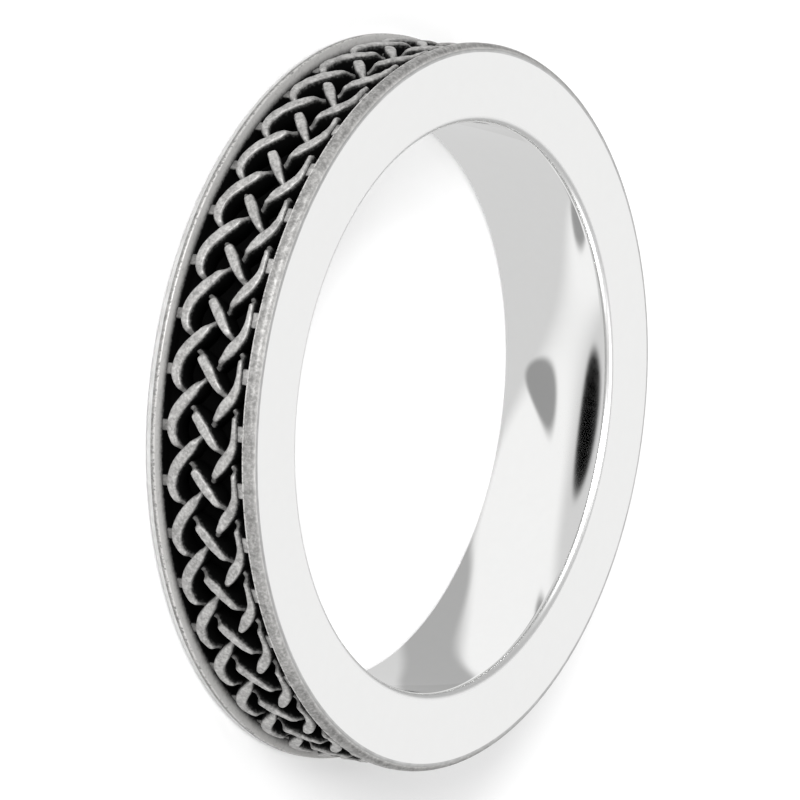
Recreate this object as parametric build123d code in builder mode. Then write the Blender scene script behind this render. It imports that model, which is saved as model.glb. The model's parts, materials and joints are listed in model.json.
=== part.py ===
"""Celtic wedding band: one cast ring with a plait of four strands raised in a channel between two rims.

The ring lies on its side: its axis is +Z, and the origin is the centre of the side face it rests on.
"""
from build123d import *
from math import cos, hypot, pi, radians, sin
import os

os.makedirs("parts", exist_ok=True)

# Ring body, millimetres
bore_diameter = 17.3        # finger size 7 on the North American scale
wall = 2.4                  # bore to the top of a rim
band_width = 3.9            # one side face to the other
bore_edge_round = 0.24      # where the bore meets a side face
rim_edge_round = 0.26       # where a rim meets a side face

# Channel between the rims
rim_width = 0.4
channel_depth = 0.8
channel_draft = 0.03        # how far a channel wall leans in from rim top to floor

# Plait
repeats = 40                # repeats of the plait around the ring
plait_edge_gap = 0.3        # rim to the outer edge of a turning strand
strand_width = 0.34         # a strand's width where it lies over another
crest_drop = 0.12           # rim top down to a strand where it lies over
dip_drop = 0.42             # rim top down to a strand where it lies under
lower_bridge_length = 0.34  # cast bridge from a lower loop to its rim, along the ring
lower_bridge_drop = 0.38    # rim top down to a lower bridge
upper_bridge_length = 0.48
upper_bridge_drop = 0.22
root_depth = 0.1            # how deep the relief is rooted below the channel floor

# Worked out from the sizes above
bore_radius = bore_diameter / 2
rim_radius = bore_radius + wall
floor_radius = rim_radius - channel_depth
root_radius = floor_radius - root_depth
crest_radius = rim_radius - crest_drop
dip_radius = rim_radius - dip_drop
middle_height = band_width / 2
channel_half = middle_height - rim_width
turn_reach = channel_half - plait_edge_gap - strand_width / 2
bridge_reach = channel_half + channel_draft - turn_reach
repeat_length = 2 * pi * crest_radius / repeats

# Rows of one repeat: place along the ring as a share of a repeat, height from the middle as a share of
# turn_reach, and width as a share of strand_width. A strand runs from the lower loop through a dip to
# the middle leaf, through a dip to the upper loop, and through a dip to the next lower loop.
lower_loop = [(0.66, -0.15, 0.4), (0.82, -0.36, 0.9), (1.05, -0.68, 1.0), (1.29, -0.92, 0.95),
              (1.52, -0.99, 0.9), (1.70, -0.91, 0.75), (1.82, -0.78, 0.4)]
lower_dip = [(1.76, -0.85, 0.4), (1.91, -0.67, 0.4), (2.13, -0.41, 0.4), (2.24, -0.22, 0.4)]
middle_leaf = [(0.16, -0.33, 0.4), (0.27, -0.17, 0.85), (0.49, 0.11, 0.9), (0.68, 0.35, 0.85),
               (0.80, 0.51, 0.4)]
upper_dip = [(0.74, 0.43, 0.4), (0.92, 0.69, 0.4), (1.11, 0.92, 0.4), (1.24, 1.03, 0.4)]
upper_loop = [(0.15, 0.98, 0.35), (0.26, 1.05, 0.45), (0.46, 1.06, 0.5), (0.66, 1.04, 0.7),
              (0.84, 0.93, 0.9), (1.02, 0.73, 1.0), (1.19, 0.53, 0.9), (1.32, 0.36, 0.4)]
middle_dip = [(1.26, 0.44, 0.4), (1.51, 0.04, 0.4), (1.73, -0.24, 0.4)]
turn_share = 0.48           # where both outer loops turn


def strand_outline(rows):
    """Middle share of a stretch of strand, and the corner points round it as seen from outside."""
    middle_share = (rows[0][0] + rows[-1][0]) / 2
    line = [((share - middle_share) * repeat_length, side * turn_reach, width * strand_width / 2)
            for share, side, width in rows]
    left, right = [], []
    for index, (along, up, half) in enumerate(line):
        before = line[max(index - 1, 0)]
        after = line[min(index + 1, len(line) - 1)]
        run, rise = after[0] - before[0], after[1] - before[1]
        scale = half / hypot(run, rise)
        left.append((along - rise * scale, up + run * scale))
        right.append((along + rise * scale, up - run * scale))
    return middle_share, left + right[::-1]


def root_plane(share):
    """Plane at the root of the relief, facing out: x runs along the ring, y up its axis."""
    angle = radians(share * 360 / repeats)
    outward = Vector(cos(angle), sin(angle), 0)
    return Plane(origin=outward * root_radius + Vector(0, 0, middle_height),
                 x_dir=Vector(-sin(angle), cos(angle), 0), z_dir=outward)


# Ring body with its rims and the bare channel, turned from one profile
with BuildPart() as ring:
    with BuildSketch(Plane.XZ) as profile:
        with BuildLine():
            Polyline((bore_radius, 0), (rim_radius, 0), (rim_radius, rim_width),
                     (floor_radius, rim_width + channel_draft),
                     (floor_radius, band_width - rim_width - channel_draft),
                     (rim_radius, band_width - rim_width), (rim_radius, band_width),
                     (bore_radius, band_width), close=True)
        make_face()
        fillet(profile.vertices().group_by(Axis.X)[0], bore_edge_round)
        rim_corners = profile.vertices().group_by(Axis.X)[-1].sort_by(Axis.Y)
        fillet([rim_corners[0], rim_corners[-1]], rim_edge_round)
    revolve(axis=Axis.Z)

# One repeat of the plait, with its two bridges to the rims
with BuildPart() as repeat:
    for rows, top_radius in ((lower_loop, crest_radius), (lower_dip, dip_radius),
                             (middle_leaf, crest_radius), (upper_dip, dip_radius),
                             (upper_loop, crest_radius), (middle_dip, dip_radius)):
        share, corners = strand_outline(rows)
        with BuildSketch(root_plane(share)):
            with BuildLine():
                Polyline(*corners, close=True)
            make_face()
        extrude(amount=top_radius - root_radius)
    for side, length, drop in ((-1, lower_bridge_length, lower_bridge_drop),
                               (1, upper_bridge_length, upper_bridge_drop)):
        with BuildSketch(root_plane(turn_share)):
            with Locations((0, side * (turn_reach + bridge_reach / 2))):
                Rectangle(length, bridge_reach)
        extrude(amount=rim_radius - drop - root_radius)

# The whole band, one casting
with BuildPart() as band:
    add(ring.part)
    with PolarLocations(0, repeats):
        add(repeat.part)

band.part.label = "band"
export_step(band.part, "parts/band.step")
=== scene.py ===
"""Celtic wedding band lying on its side: a polished silver ring with a plait of four strands in a
blackened channel. Lengths are in metres, and MM turns millimetres into them."""

import json
from math import cos, hypot, pi, radians, sin, tan

import bmesh
import bpy
from mathutils import Matrix, Vector, noise


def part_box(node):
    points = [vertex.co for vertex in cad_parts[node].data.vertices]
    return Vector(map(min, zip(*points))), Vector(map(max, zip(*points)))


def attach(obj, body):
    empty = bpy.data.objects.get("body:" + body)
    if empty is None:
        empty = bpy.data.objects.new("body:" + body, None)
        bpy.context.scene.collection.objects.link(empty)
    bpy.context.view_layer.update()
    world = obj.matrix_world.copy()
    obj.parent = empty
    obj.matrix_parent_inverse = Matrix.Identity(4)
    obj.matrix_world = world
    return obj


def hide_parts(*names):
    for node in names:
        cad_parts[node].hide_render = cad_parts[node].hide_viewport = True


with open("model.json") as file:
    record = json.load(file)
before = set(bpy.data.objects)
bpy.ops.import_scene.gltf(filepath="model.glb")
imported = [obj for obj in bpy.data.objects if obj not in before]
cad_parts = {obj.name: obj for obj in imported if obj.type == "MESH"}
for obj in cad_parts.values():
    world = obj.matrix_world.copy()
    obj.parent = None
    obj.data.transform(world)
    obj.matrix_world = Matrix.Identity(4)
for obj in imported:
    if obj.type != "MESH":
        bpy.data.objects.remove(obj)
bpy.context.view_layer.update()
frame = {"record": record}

MM = 0.001
MERGE_DISTANCE = 0.0002 * MM     # points closer than this are one

# The ring body, from the frame
low_corner, high_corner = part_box("band")
RIM_RADIUS = high_corner[0]
BAND_WIDTH = high_corner[2] - low_corner[2]
MIDDLE = (high_corner[2] + low_corner[2]) / 2
bore = next(mount for mount in frame["record"]["mounts"] if mount["name"] == "finger_bore")
BORE_RADIUS = bore["dims"]["r_mm"] * MM

# Edges, rims and channel
BORE_EDGE = 0.24 * MM
RIM_EDGE = 0.26 * MM
RIM_WIDTH = 0.4 * MM
RIM_LIP = 0.035 * MM
CHANNEL_DEPTH = 0.8 * MM
CHANNEL_DRAFT = 0.03 * MM
CHANNEL_CORNER = 0.08 * MM
FLOOR_RADIUS = RIM_RADIUS - CHANNEL_DEPTH
TURNS = 720                      # steps round the ring
HOLD = 1.12                      # where points hold a rounding's ends, as a share of its setback
# On the upper side only the satin reaches over the rim's outer rounding: a real satin finish, used there
# as painted shade that dulls the highlight.
SATIN_SHADE_OVER_EDGE = 0.15 * MM      # how far in the satin goes over the upper rim's outer rounding

# The plait
REPEATS = 40
STRAND_WIDTH = 0.34 * MM
PLAIT_EDGE_GAP = 0.3 * MM
TURN_REACH = BAND_WIDTH / 2 - RIM_WIDTH - PLAIT_EDGE_GAP - STRAND_WIDTH / 2
ROOT_DEPTH = 0.04 * MM           # how deep the plait is rooted below the channel floor
ROOT_RADIUS = FLOOR_RADIUS - ROOT_DEPTH

# One strand over four repeats. Columns: place along the ring in repeats, height from the middle as a
# share of TURN_REACH, width of the flat top as a share of STRAND_WIDTH, and drop below the rims in mm.
STRAND = [
    (0.66, -0.15, 0.40, 0.20), (0.72, -0.23, 0.64, 0.13), (0.82, -0.36, 0.88, 0.11),
    (1.05, -0.68, 1.02, 0.09), (1.29, -0.92, 0.96, 0.10), (1.52, -0.99, 0.88, 0.11),
    (1.69, -0.92, 0.70, 0.12), (1.78, -0.82, 0.52, 0.15), (1.84, -0.75, 0.38, 0.28),
    (1.92, -0.69, 0.38, 0.38), (2.04, -0.62, 0.36, 0.39), (2.10, -0.54, 0.36, 0.39),
    (2.145, -0.41, 0.38, 0.35), (2.18, -0.31, 0.46, 0.24), (2.21, -0.26, 0.70, 0.13),
    (2.27, -0.18, 0.84, 0.11), (2.43, 0.04, 0.93, 0.10), (2.58, 0.22, 0.82, 0.10),
    (2.70, 0.38, 0.65, 0.11), (2.78, 0.49, 0.50, 0.15), (2.83, 0.56, 0.40, 0.26),
    (2.91, 0.67, 0.38, 0.38), (3.03, 0.79, 0.36, 0.39), (3.10, 0.89, 0.36, 0.39),
    (3.145, 0.97, 0.36, 0.34), (3.18, 1.01, 0.38, 0.23), (3.215, 1.03, 0.42, 0.14),
    (3.30, 1.05, 0.45, 0.12), (3.48, 1.06, 0.52, 0.12), (3.66, 1.04, 0.68, 0.12),
    (3.84, 0.93, 0.88, 0.11), (4.00, 0.74, 1.00, 0.10), (4.13, 0.59, 0.85, 0.10),
    (4.22, 0.48, 0.62, 0.11), (4.28, 0.39, 0.46, 0.15), (4.33, 0.32, 0.40, 0.27),
    (4.39, 0.23, 0.38, 0.36), (4.51, 0.03, 0.38, 0.38), (4.60, -0.08, 0.38, 0.30),
]
STRAND_LENGTH = 4                # repeats from one end of the table to the other
ROW_STEPS = 3                    # sections from one row of the table to the next

# Half of a strand's section, from its root to its middle. Columns: distance in from the edge of the
# flat top, and height above that top, in mm, with None at the root.
SECTION = [(-0.05, None), (-0.028, -0.20), (-0.014, -0.075), (0.0, -0.038), (0.018, -0.016),
           (0.045, -0.003), (0.10, 0.004)]
LEAST_HALF = 0.1                 # how near a section point comes to the middle, as a share of half the top
LOOK_AHEAD = 0.01                # repeats ahead at which a strand's direction is taken

# The uneven, hand-finished height of the strands
LUMP_LENGTH = 0.22 * MM
LUMP_HEIGHT = 0.03 * MM

# Cast bridges between a turning strand and its rim
BRIDGE_PLACE = 0.48
LOWER_BRIDGE_LENGTH = 0.34 * MM
LOWER_BRIDGE_DROP = 0.38 * MM
UPPER_BRIDGE_LENGTH = 0.48 * MM
UPPER_BRIDGE_DROP = 0.22 * MM
BRIDGE_ROUND = 0.05 * MM

# Camera, as the photograph looks at the ring: angles in degrees, lens and film width in mm
CAMERA_AIM = (0.05 * MM, -0.06 * MM, 1.86 * MM)
CAMERA_AZIMUTH = -12.81
CAMERA_ELEVATION = 32.58
CAMERA_DISTANCE = 324.4 * MM
CAMERA_ROLL = 96.91
CAMERA_LENS = 482.3
CAMERA_FILM = 36

# Softboxes. Columns: azimuth and elevation in degrees, distance and size in metres, and brightness
SOFTBOXES = {
    "side_softbox": (167, 33, 0.30, 0.24, 0.48),
    "key_softbox": (-32, 27, 0.50, 0.24, 13.0),
    "left_softbox": (-62, 35, 0.50, 0.16, 14.0),
    "right_softbox": (60, 30, 0.50, 0.20, 8.0),
    "top_softbox": (20, 82, 0.50, 0.30, 2.2),
}
ROOM_LIGHT = 0.48

# Glowing card on the floor in the finger hole, no lamp, which only shows in reflections: painted
# reflections for the bore. Its tone, and the lighter and darker painted areas on it. Columns: middle on
# the floor in mm, half lengths in mm, turn in degrees, and brightness.
CARD_RADIUS = BORE_RADIUS + 0.8 * BORE_EDGE
CARD_HEIGHT = 0.01 * MM
PAINTED_REFLECTION_TONE = 0.71
CARD_SOFTNESS = (0.8, 1.12)      # where an area starts and ends to fade, as shares of its half lengths
PAINTED_REFLECTION_AREAS = [
    ((-5.7, 2.9), (2.4, 2.6), 0, 1.0),
    ((-6.3, 0.95), (1.1, 0.42), 15, 0.34),
    ((-3.3, 0.78), (0.58, 0.52), 0, 0.0),
    ((-4.8, 7.0), (2.4, 1.3), 30, 0.46),
]

# Colours of the silver and its blackening
SILVER = (0.88, 0.88, 0.875)
SILVER_HAZE = (0.90, 0.90, 0.895)
SOFT_SILVER = (0.54, 0.54, 0.535)
SOFT_SILVER_HAZE = (0.64, 0.64, 0.635)
SATIN = (0.33, 0.326, 0.32)
RIM_SATIN = (0.25, 0.247, 0.242)
OXIDE = (0.002, 0.002, 0.002)
BLACK = (0, 0, 0)
FLOOR_WHITE = (0.94, 0.94, 0.94)

# Patches to the millimetre in the aged silver's mottle
GRAIN = 3.6
SPECKLE = 11.0

FLOOR_HALF = 1.5                 # half the floor's side, in metres


def rounded(before, corner, after, radius, segments):
    """Points of an arc that rounds a corner of an outline, with one point just outside each end."""
    corner = Vector(corner)
    to_before = (Vector(before) - corner).normalized()
    to_after = (Vector(after) - corner).normalized()
    half_angle = to_before.angle(to_after) / 2
    setback = radius / tan(half_angle)
    centre = corner + (to_before + to_after).normalized() * radius / sin(half_angle)
    start = (corner + to_before * setback - centre).normalized()
    end = (corner + to_after * setback - centre).normalized()
    points = [corner + to_before * setback * HOLD]
    for step in range(segments + 1):
        share = step / segments
        points.append(centre + start.slerp(end, share) * radius)
    points.append(corner + to_after * setback * HOLD)
    return points


def new_object(name, mesh_builder):
    """Piece from a bmesh: doubles merged, faces outwards, shaded smooth."""
    bmesh.ops.remove_doubles(mesh_builder, verts=mesh_builder.verts, dist=MERGE_DISTANCE)
    bmesh.ops.recalc_face_normals(mesh_builder, faces=mesh_builder.faces)
    mesh = bpy.data.meshes.new(name)
    mesh_builder.to_mesh(mesh)
    mesh_builder.free()
    for face in mesh.polygons:
        face.use_smooth = True
    piece = bpy.data.objects.new(name, mesh)
    bpy.context.scene.collection.objects.link(piece)
    return piece


def make_ring_body():
    """Bore, side faces, rims and channel, turned from one rounded profile."""
    top = MIDDLE + BAND_WIDTH / 2
    bottom = MIDDLE - BAND_WIDTH / 2
    corners = [
        (BORE_RADIUS, bottom, BORE_EDGE, 14), (RIM_RADIUS, bottom, RIM_EDGE, 12),
        (RIM_RADIUS, bottom + RIM_WIDTH, RIM_LIP, 4),
        (FLOOR_RADIUS, bottom + RIM_WIDTH + CHANNEL_DRAFT, CHANNEL_CORNER, 3),
        (FLOOR_RADIUS, top - RIM_WIDTH - CHANNEL_DRAFT, CHANNEL_CORNER, 3),
        (RIM_RADIUS, top - RIM_WIDTH, RIM_LIP, 4),
        (RIM_RADIUS, top, RIM_EDGE, 12), (BORE_RADIUS, top, BORE_EDGE, 14),
    ]
    outline = []
    for index, (radius, height, rounding, segments) in enumerate(corners):
        before = corners[index - 1][:2]
        after = corners[(index + 1) % len(corners)][:2]
        outline += rounded(before, (radius, height), after, rounding, segments)
    body = bmesh.new()
    profile = [body.verts.new((point[0], 0, point[1])) for point in outline]
    chain = [body.edges.new(pair) for pair in zip(profile, profile[1:] + profile[:1])]
    bmesh.ops.spin(body, geom=profile + chain, cent=(0, 0, 0), axis=(0, 0, 1), dvec=(0, 0, 0),
                   angle=2 * pi, steps=TURNS, use_merge=True, use_normal_flip=False,
                   use_duplicate=False)
    return new_object("ring_body", body)


def strand_at(place):
    """Height, top width and drop of the strand at a place, on a smooth curve through the table's rows.
    Past its end the table starts again."""
    first = STRAND[0][0]
    place = first + (place - first) % STRAND_LENGTH
    rows = [(row[0] - STRAND_LENGTH, *row[1:]) for row in STRAND[-2:]] + STRAND
    rows += [(row[0] + STRAND_LENGTH, *row[1:]) for row in STRAND[:2]]
    index = max(i for i in range(1, len(rows) - 2) if rows[i][0] <= place)
    before, start, end, after = rows[index - 1:index + 3]
    gap = end[0] - start[0]
    share = (place - start[0]) / gap
    values = []
    for column in (1, 2, 3):
        slope_in = (end[column] - before[column]) / (end[0] - before[0]) * gap
        slope_out = (after[column] - start[column]) / (after[0] - start[0]) * gap
        values.append((2 * share ** 3 - 3 * share ** 2 + 1) * start[column]
                      + (share ** 3 - 2 * share ** 2 + share) * slope_in
                      + (3 * share ** 2 - 2 * share ** 3) * end[column]
                      + (share ** 3 - share ** 2) * slope_out)
    return values


def on_ring(place, height, radius):
    """Point at a place along the ring, in repeats, a height and a radius."""
    angle = 2 * pi * place / REPEATS
    return Vector((radius * cos(angle), radius * sin(angle), height))


def section_points(place):
    """Closed section of a strand, square to its run, at a place along it."""
    side, width, drop = strand_at(place)
    side_ahead = strand_at(place + LOOK_AHEAD)[0]
    top_radius = RIM_RADIUS - drop * MM
    repeat_length = 2 * pi * top_radius / REPEATS
    run = repeat_length * LOOK_AHEAD
    rise = (side_ahead - side) * TURN_REACH
    along, up = -rise / hypot(run, rise), run / hypot(run, rise)
    half = width * STRAND_WIDTH / 2
    points = []
    for sign in (-1, 1):
        half_section = SECTION if sign < 0 else SECTION[::-1]
        for inset, lift in half_section:
            across = sign * max(half - inset * MM, LEAST_HALF * half)
            radius = ROOT_RADIUS if lift is None else max(top_radius + lift * MM, ROOT_RADIUS)
            points.append(on_ring(place + along * across / repeat_length,
                                  MIDDLE + side * TURN_REACH + up * across, radius))
    return points


def repeat_round(mesh_builder):
    """Copies what a bmesh holds into every repeat round the ring."""
    whole = list(mesh_builder.verts) + list(mesh_builder.edges) + list(mesh_builder.faces)
    bmesh.ops.spin(mesh_builder, geom=whole, cent=(0, 0, 0), axis=(0, 0, 1), dvec=(0, 0, 0),
                   angle=2 * pi * (REPEATS - 1) / REPEATS, steps=REPEATS - 1, use_merge=False,
                   use_normal_flip=False, use_duplicate=True)


def make_plait():
    """All four strands: one strand's run over four repeats, swept once and copied into every repeat."""
    plait = bmesh.new()
    start = STRAND[0][0]
    first = bmesh.ops.create_circle(plait, cap_ends=False, radius=STRAND_WIDTH,
                                    segments=2 * len(SECTION))["verts"]
    for vert, point in zip(first, section_points(start)):
        vert.co = point
    section, edges = first, list(plait.edges)
    rows = [row[0] for row in STRAND] + [start + STRAND_LENGTH]
    places = [here + (there - here) * step / ROW_STEPS for here, there in zip(rows, rows[1:])
              for step in range(1, ROW_STEPS + 1)]
    for place in places:
        grown = bmesh.ops.extrude_edge_only(plait, edges=edges)["geom"]
        edges = [item for item in grown if isinstance(item, bmesh.types.BMEdge)
                 and not any(vert in section for vert in item.verts)]
        section = [item for item in grown if isinstance(item, bmesh.types.BMVert)]
        for vert, point in zip(section, section_points(place)):
            vert.co = point
    repeat_round(plait)
    for vert in plait.verts:
        outward = Vector((vert.co.x, vert.co.y, 0)).normalized()
        vert.co += outward * noise.noise(vert.co / LUMP_LENGTH) * LUMP_HEIGHT
    return new_object("plait", plait)


def make_bridges():
    """Small cast lumps that join each outer turn to its rim."""
    bridges = bmesh.new()
    rim_reach = BAND_WIDTH / 2 - RIM_WIDTH + CHANNEL_DRAFT
    for side, length, drop in ((-1, LOWER_BRIDGE_LENGTH, LOWER_BRIDGE_DROP),
                               (1, UPPER_BRIDGE_LENGTH, UPPER_BRIDGE_DROP)):
        top_radius = RIM_RADIUS - drop
        made = bmesh.ops.create_cube(bridges, size=1)["verts"]
        middle = Vector(((ROOT_RADIUS + top_radius) / 2, 0, MIDDLE + side * (TURN_REACH + rim_reach) / 2))
        size = Vector((top_radius - ROOT_RADIUS, length, rim_reach - TURN_REACH))
        bmesh.ops.scale(bridges, vec=size, verts=made)
        bmesh.ops.translate(bridges, vec=middle, verts=made)
        bmesh.ops.rotate(bridges, cent=(0, 0, 0), verts=made,
                         matrix=Matrix.Rotation(2 * pi * BRIDGE_PLACE / REPEATS, 3, "Z"))
    bmesh.ops.bevel(bridges, geom=list(bridges.edges), offset=BRIDGE_ROUND, offset_type="OFFSET",
                    segments=3, profile=0.5, affect="EDGES", material=-1)
    repeat_round(bridges)
    return new_object("bridges", bridges)


class Value:
    """A shader socket's output. Sums on it add Math nodes."""

    def __init__(self, finish, socket):
        self.finish, self.socket = finish, socket

    def __add__(self, other):
        return self.finish.maths("ADD", self, other)

    def __radd__(self, other):
        return self.finish.maths("ADD", other, self)

    def __sub__(self, other):
        return self.finish.maths("SUBTRACT", self, other)

    def __rsub__(self, other):
        return self.finish.maths("SUBTRACT", other, self)

    def __mul__(self, other):
        return self.finish.maths("MULTIPLY", self, other)

    def __rmul__(self, other):
        return self.finish.maths("MULTIPLY", other, self)

    def __abs__(self):
        return self.finish.maths("ABSOLUTE", self)

    def ramp(self, low, high):
        """0 below low and 1 above high, smooth between."""
        return self.finish.add("ShaderNodeMapRange", {"interpolation_type": "SMOOTHSTEP"},
                               {"Value": self, "From Min": low, "From Max": high})


class Finish:
    """A material, built on its Principled shader. Lengths in it are in millimetres."""

    def __init__(self, name):
        self.material = bpy.data.materials.new(name)
        self.material.use_nodes = True
        self.tree = self.material.node_tree
        self.shader = self.tree.nodes["Principled BSDF"]

    def add(self, kind, settings=None, sockets=None, output=0):
        """Adds a node: its settings first, then the values or links of its sockets."""
        node = self.tree.nodes.new(kind)
        for key, value in (settings or {}).items():
            setattr(node, key, value)
        self.feed(node, sockets or {})
        return Value(self, node.outputs[output])

    def feed(self, node, sockets):
        """Links or sets a node's sockets. A colour without its fourth number is opaque."""
        for key, value in sockets.items():
            if isinstance(value, Value):
                self.tree.links.new(value.socket, node.inputs[key])
            elif isinstance(value, tuple) and node.inputs[key].type == "RGBA":
                node.inputs[key].default_value = (*value, 1)
            else:
                node.inputs[key].default_value = value

    def maths(self, operation, *terms):
        return self.add("ShaderNodeMath", {"operation": operation}, dict(enumerate(terms)))

    def mix(self, share, first, second):
        """Colour between two colours."""
        return self.add("ShaderNodeMix", {"data_type": "RGBA"}, {0: share, 6: first, 7: second}, 2)

    def position(self):
        """Place on the piece."""
        coordinates = self.add("ShaderNodeTexCoord", output="Object")
        return self.add("ShaderNodeVectorMath", {"operation": "SCALE"},
                        {0: coordinates, "Scale": 1 / MM})

    def flat(self, position):
        """The part of a place that lies square to the ring's axis."""
        return self.add("ShaderNodeVectorMath", {"operation": "MULTIPLY"},
                        {0: position, 1: (1, 1, 0)})

    def length(self, vector):
        return self.add("ShaderNodeVectorMath", {"operation": "LENGTH"}, {0: vector}, "Value")

    def noise(self, position, scale, detail=2.0, roughness=0.5):
        return self.add("ShaderNodeTexNoise", sockets={
            "Vector": position, "Scale": scale, "Detail": detail, "Roughness": roughness})


def shade(colour, share):
    """A colour made darker or lighter."""
    return tuple(part * share for part in colour)


def polished_silver():
    """Mirror polish with a faint haze, softer on the rounding between the bore and a side face."""
    finish = Finish("polished_silver")
    position = finish.position()
    haze = finish.noise(position, 3.0)
    from_bore = finish.length(finish.flat(position)) - BORE_RADIUS / MM
    edge = from_bore.ramp(0, 0.04) * (1 - from_bore.ramp(0.19, 0.25))
    finish.feed(finish.shader, {
        "Base Color": finish.mix(haze, SILVER, SILVER_HAZE),
        "Metallic": 1.0,
        "Roughness": haze * 0.03 + edge * 0.28 + 0.04,
    })
    return finish.material


def soft_silver():
    """Lightly rubbed silver of the rims' outer roundings."""
    finish = Finish("soft_silver")
    haze = finish.noise(finish.position(), 2.4, 3.0, 0.6).ramp(0.3, 0.7)
    finish.feed(finish.shader, {
        "Base Color": finish.mix(haze, SOFT_SILVER, SOFT_SILVER_HAZE),
        "Metallic": 1.0,
        "Roughness": 0.40 - haze * 0.06,
    })
    return finish.material


def aged_silver(name, tone, black_from, black_to, on_rims):
    """Mottled satin silver that turns black between two depths below the rim tops, in mm. The rims have
    a worn line along their inner edges with painted glints in it, and walls painted lighter as painted
    light. The plait is black down its walls, has painted shade where its surface turns from outward,
    and is darker the deeper it dips."""
    finish = Finish(name)
    position = finish.position()
    flat = finish.flat(position)
    depth = RIM_RADIUS / MM - finish.length(flat)
    outward = finish.add("ShaderNodeVectorMath", {"operation": "NORMALIZE"}, {0: flat})
    normal = finish.add("ShaderNodeNewGeometry", output="Normal")
    facing = finish.add("ShaderNodeVectorMath", {"operation": "DOT_PRODUCT"},
                        {0: outward, 1: normal}, "Value")
    grain = finish.noise(position, GRAIN, 3.0, 0.6)
    speckle = finish.noise(position, SPECKLE, 3.0, 0.6)
    wear = 1 - (depth + (speckle - 0.5) * 0.16).ramp(black_from, black_to)
    light = 0.30 + grain.ramp(0.32, 0.68) * 0.20 + speckle.ramp(0.40, 0.66) * 0.22
    if on_rims:
        height = finish.add("ShaderNodeSeparateXYZ", sockets={0: position}, output="Z")
        from_edge = abs(abs(height - MIDDLE / MM) - (BAND_WIDTH / 2 - RIM_WIDTH) / MM)
        # Partly wear and partly painted glints: each rim's inner edge made lighter in speckles.
        worn_line_and_painted_glint = (1 - from_edge.ramp(0.03, 0.07)) * (1 - depth.ramp(0.05, 0.15))
        light = light + worn_line_and_painted_glint * speckle.ramp(0.36, 0.56) * 0.9
        # Painted light: rim walls, which turn from outward, are made lighter.
        light = light + (1 - facing.ramp(0.2, 0.8)) * 0.5
    else:
        wear = wear * (facing + (speckle - 0.5) * 0.3).ramp(0.1, 0.55)
        # Painted shade: strand tops darker where their surface turns from outward.
        light = light * (0.55 + facing.ramp(0.55, 0.97) * 0.45)
        light = light * (1 - depth.ramp(0.17, 0.36) * 0.15)
    silver = finish.mix(light, shade(tone, 0.1), shade(tone, 2.0))
    bump = finish.add("ShaderNodeBump", sockets={"Strength": 0.35, "Distance": 0.012 * MM,
                                                 "Height": speckle * 0.5 + grain})
    finish.feed(finish.shader, {
        "Base Color": finish.mix(wear, OXIDE, silver),
        "Metallic": wear * (0.1 + facing.ramp(0.2, 0.8) * 0.5),
        "Roughness": 0.92 - wear * (0.40 + light * 0.05),
        "Specular IOR Level": 0.03,
        "Normal": bump,
    })
    return finish.material


def dress_ring_body(ring_body):
    """Polished bore and side faces, satin rims and channel, rubbed silver on the rims' outer roundings.
    The satin also goes over the upper rim's outer rounding, as painted shade that dulls its highlight.
    """
    rim_satin = aged_silver("satin_rim", RIM_SATIN, 0.16, 0.43, on_rims=True)
    for material in (polished_silver(), rim_satin, soft_silver()):
        ring_body.data.materials.append(material)
    satin_slot, soft_slot = 1, 2
    for face in ring_body.data.polygons:
        height = abs(face.center.z - MIDDLE)
        radius = hypot(face.center.x, face.center.y)
        on_outside = radius > FLOOR_RADIUS - CHANNEL_CORNER and height < BAND_WIDTH / 2 - RIM_EDGE
        # Painted shade: the upper rim's outer rounding is given satin, not rubbed silver, to dull its
        # highlight.
        satin_shade_on_upper_edge = radius > RIM_RADIUS - SATIN_SHADE_OVER_EDGE and face.center.z > MIDDLE
        if on_outside or satin_shade_on_upper_edge:
            face.material_index = satin_slot
        elif radius > RIM_RADIUS - RIM_EDGE:
            face.material_index = soft_slot


def towards(azimuth, elevation):
    """Direction at an azimuth from +X and an elevation, both in degrees."""
    turn, rise = radians(azimuth), radians(elevation)
    return Vector((cos(turn) * cos(rise), sin(turn) * cos(rise), sin(rise)))


def add_floor():
    """Plain pale floor under the ring."""
    ground = bmesh.new()
    bmesh.ops.create_grid(ground, x_segments=1, y_segments=1, size=FLOOR_HALF)
    floor = new_object("floor", ground)
    white = Finish("white_floor")
    white.feed(white.shader, {"Base Color": FLOOR_WHITE, "Roughness": 0.9})
    floor.data.materials.append(white.material)


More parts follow.
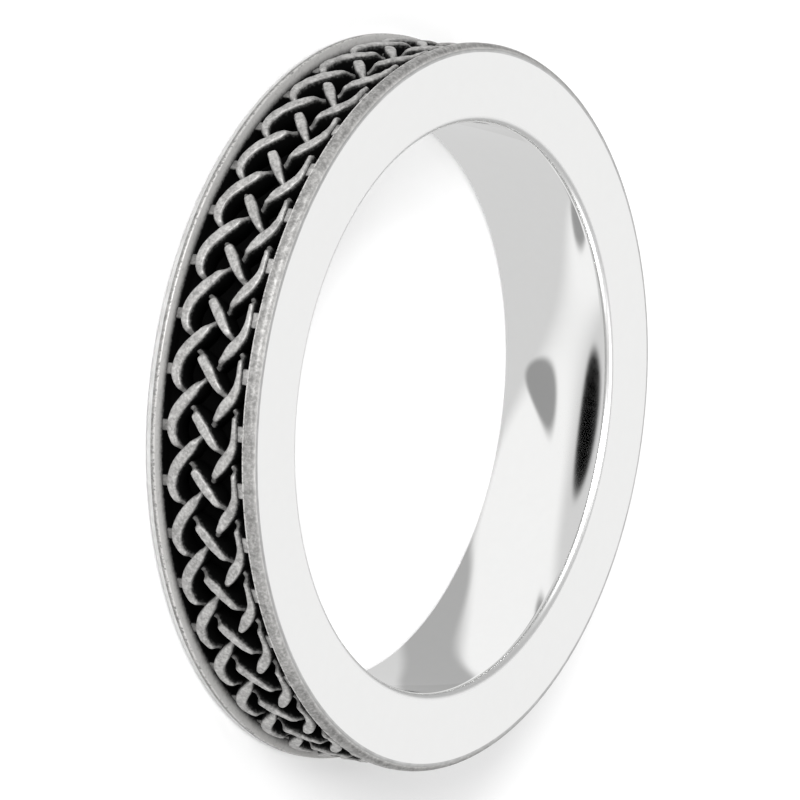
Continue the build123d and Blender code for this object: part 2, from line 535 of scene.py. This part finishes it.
def add_painted_reflection_card():
    """Glowing card in the finger hole, which only shows in reflections: painted reflections in the bore,
    not a lamp.
    """
    sheet = bmesh.new()
    bmesh.ops.create_circle(sheet, cap_ends=True, radius=CARD_RADIUS, segments=64)
    bmesh.ops.translate(sheet, vec=(0, 0, CARD_HEIGHT), verts=sheet.verts)
    card = new_object("painted_reflection_card", sheet)
    glow = Finish("card_glow")
    position = glow.flat(glow.position())
    tone = PAINTED_REFLECTION_TONE
    for middle, halves, turn, brightness in PAINTED_REFLECTION_AREAS:
        area = glow.add("ShaderNodeMapping", {"vector_type": "TEXTURE"},
                         {"Vector": position, "Location": (*middle, 0),
                          "Rotation": (0, 0, radians(turn)), "Scale": (*halves, 1)})
        share = 1 - glow.length(area).ramp(*CARD_SOFTNESS)
        tone = share * brightness + (1 - share) * tone
    # The card glows with its painted tones, which the bore shows as painted reflections.
    glow.feed(glow.shader, {"Base Color": BLACK, "Roughness": 1.0, "Specular IOR Level": 0.0,
                              "Emission Color": tone, "Emission Strength": 1.0})
    card.data.materials.append(glow.material)
    card.visible_camera = card.visible_diffuse = card.visible_shadow = False


def add_lights():
    """Even room light and the round softboxes, all turned to the ring."""
    world = bpy.data.worlds.new("studio")
    world.use_nodes = True
    background = world.node_tree.nodes["Background"]
    background.inputs["Color"].default_value = (1, 1, 1, 1)
    background.inputs["Strength"].default_value = ROOM_LIGHT
    bpy.context.scene.world = world

    for name, (azimuth, elevation, distance, size, brightness) in SOFTBOXES.items():
        light = bpy.data.lights.new(name, "AREA")
        light.shape = "DISK"
        light.size = size
        face_area = pi * (size / 2) ** 2
        light.energy = brightness * pi * face_area
        softbox = bpy.data.objects.new(name, light)
        way = towards(azimuth, elevation)
        softbox.location = way * distance
        softbox.rotation_euler = way.to_track_quat("Z", "Y").to_euler()
        bpy.context.scene.collection.objects.link(softbox)


def add_camera():
    """Camera at the photograph's angle to the ring."""
    camera = bpy.data.cameras.new("camera")
    camera.lens = CAMERA_LENS
    camera.sensor_width = CAMERA_FILM
    holder = bpy.data.objects.new("camera", camera)
    back = towards(CAMERA_AZIMUTH, CAMERA_ELEVATION)
    holder.location = Vector(CAMERA_AIM) + back * CAMERA_DISTANCE
    turn = back.to_track_quat("Z", "Y").to_matrix() @ Matrix.Rotation(radians(CAMERA_ROLL), 3, "Z")
    holder.rotation_euler = turn.to_euler()
    bpy.context.scene.collection.objects.link(holder)
    bpy.context.scene.camera = holder
    bpy.context.scene.view_settings.view_transform = "Standard"


ring_body = make_ring_body()
plait = make_plait()
bridges = make_bridges()

dress_ring_body(ring_body)
plait_satin = aged_silver("satin_plait", SATIN, 0.40, 0.60, on_rims=False)
plait.data.materials.append(plait_satin)
bridges.data.materials.append(plait_satin)

for piece in (ring_body, plait, bridges):
    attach(piece, "root")
    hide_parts("band")

add_floor()
add_painted_reflection_card()
add_lights()
add_camera()
